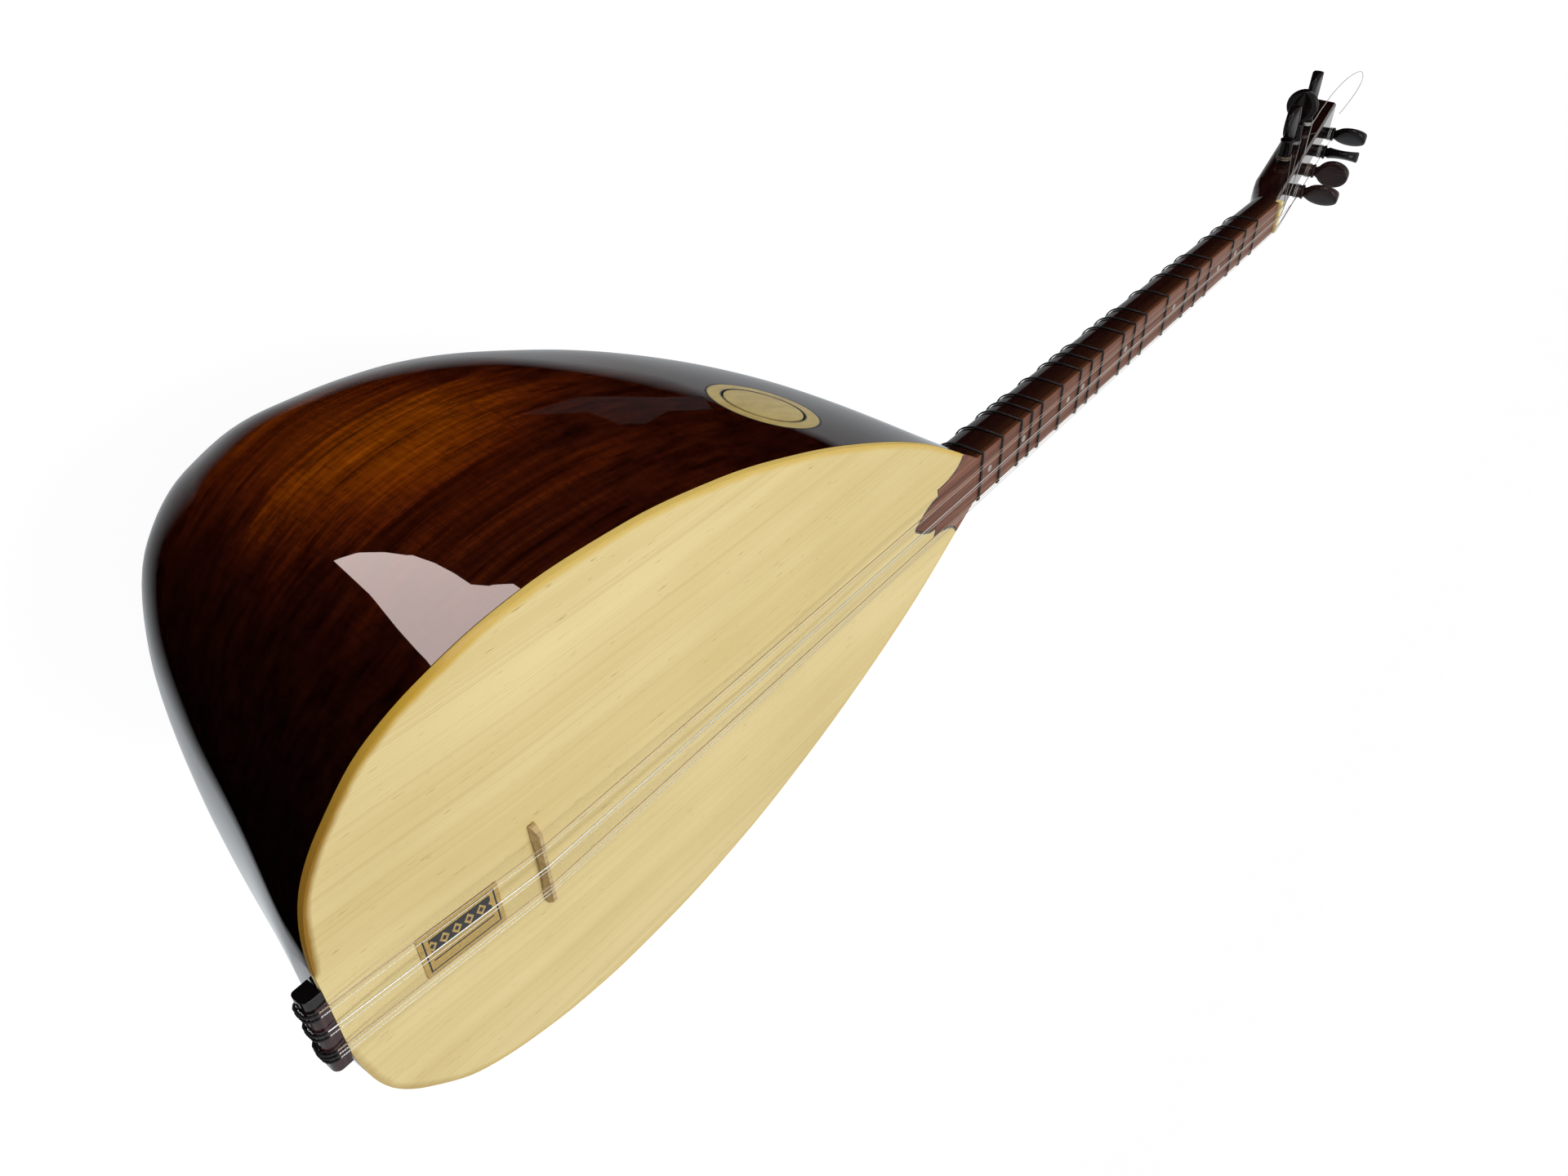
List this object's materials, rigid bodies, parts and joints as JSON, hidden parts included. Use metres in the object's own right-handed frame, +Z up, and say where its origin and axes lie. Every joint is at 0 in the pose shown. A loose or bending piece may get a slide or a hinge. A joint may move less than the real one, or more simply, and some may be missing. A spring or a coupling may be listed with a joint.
{
  "type": "short-neck baglama",
  "caption": "Short-necked long lute with a deep carved bowl, arched spruce soundboard, tied nylon frets, floating bridge and friction pegs.",
  "frame": {"origin": "middle of the box's floor, under the bowl, with the instrument lying on its bowl and the soundboard up", "axes": "+X along the strings from the tail to the head, +Y to the side that the side pegs and the sound port are on, +Z up, square to the fingerboard"},
  "size_m": [1.0478, 0.2456, 0.2805],
  "materials": {
    "bowl_lacquer": "very glossy dark sunburst lacquer over carved wood",
    "spruce": "satin clear lacquer over pale spruce, amber at the edge",
    "brace_spruce": "bare",
    "block_wood": "bare",
    "label_gold": "printed gold foil with a dark plain frame",
    "port_maple": "satin lacquer",
    "neck_lacquer": "glossy dark lacquer",
    "fingerboard_wood": "oiled rosewood, satin",
    "nut_bone": "polished bone",
    "bridge_wood": "satin",
    "tailpiece_wood": "glossy rosewood",
    "fret_nylon": "black nylon gut",
    "string_steel": "bright steel wire",
    "cord_black": "black cord",
    "peg_ebony": "polished dark wood"
  },
  "bodies": {
    "instrument": {"bowl": "bowl_lacquer", "soundboard": "spruce", "brace_1": "brace_spruce", "brace_2": "brace_spruce", "end_block": "block_wood", "label": "label_gold", "port_ring": "port_maple", "port_disc": "port_maple", "port_backing": "port_maple", "neck": "neck_lacquer", "fingerboard": "fingerboard_wood", "nut": "nut_bone", "head": "neck_lacquer", "bridge": "bridge_wood", "tailpiece": "tailpiece_wood", "fret_01": "fret_nylon", "fret_02": "fret_nylon", "fret_03": "fret_nylon", "fret_04": "fret_nylon", "fret_05": "fret_nylon", "fret_06": "fret_nylon", "fret_07": "fret_nylon", "fret_08": "fret_nylon", "fret_09": "fret_nylon", "fret_10": "fret_nylon", "fret_11": "fret_nylon", "fret_12": "fret_nylon", "fret_13": "fret_nylon", "fret_14": "fret_nylon", "fret_15": "fret_nylon", "fret_16": "fret_nylon", "fret_17": "fret_nylon", "fret_18": "fret_nylon", "fret_19": "fret_nylon", "string_1": "string_steel", "string_2": "string_steel", "string_3": "string_steel", "string_4": "string_steel", "string_5": "string_steel", "string_6": "string_steel", "string_7": "string_steel", "tail_cord_1": "cord_black", "tail_cord_2": "cord_black", "tail_cord_3": "cord_black", "tail_cord_4": "cord_black", "tail_cord_5": "cord_black", "tail_cord_6": "cord_black", "tail_cord_7": "cord_black"},
    "front_peg_1": {"front_peg_1": "peg_ebony"},
    "front_peg_2": {"front_peg_2": "peg_ebony"},
    "front_peg_3": {"front_peg_3": "peg_ebony"},
    "front_peg_4": {"front_peg_4": "peg_ebony"},
    "side_peg_1": {"side_peg_1": "peg_ebony"},
    "side_peg_2": {"side_peg_2": "peg_ebony"},
    "side_peg_3": {"side_peg_3": "peg_ebony"}
  },
  "joints": [
    {"name": "front_peg_1_turn", "type": "hinge", "parent": "instrument", "child": "front_peg_1", "pos_m": [0.31921, 0, 0.24643], "axis": [0.165, 0, 0.9863], "continuous": true},
    {"name": "front_peg_2_turn", "type": "hinge", "parent": "instrument", "child": "front_peg_2", "pos_m": [0.36021, 0, 0.23957], "axis": [0.165, 0, 0.9863], "continuous": true},
    {"name": "front_peg_3_turn", "type": "hinge", "parent": "instrument", "child": "front_peg_3", "pos_m": [0.40021, 0, 0.23287], "axis": [0.165, 0, 0.9863], "continuous": true},
    {"name": "front_peg_4_turn", "type": "hinge", "parent": "instrument", "child": "front_peg_4", "pos_m": [0.43921, 0, 0.22635], "axis": [0.165, 0, 0.9863], "continuous": true},
    {"name": "side_peg_1_turn", "type": "hinge", "parent": "instrument", "child": "side_peg_1", "pos_m": [0.33421, 0.0116, 0.23192], "axis": [0, 1, 0], "continuous": true},
    {"name": "side_peg_2_turn", "type": "hinge", "parent": "instrument", "child": "side_peg_2", "pos_m": [0.36621, 0.0116, 0.22656], "axis": [0, 1, 0], "continuous": true},
    {"name": "side_peg_3_turn", "type": "hinge", "parent": "instrument", "child": "side_peg_3", "pos_m": [0.40821, 0.0116, 0.21953], "axis": [0, 1, 0], "continuous": true}
  ]
}
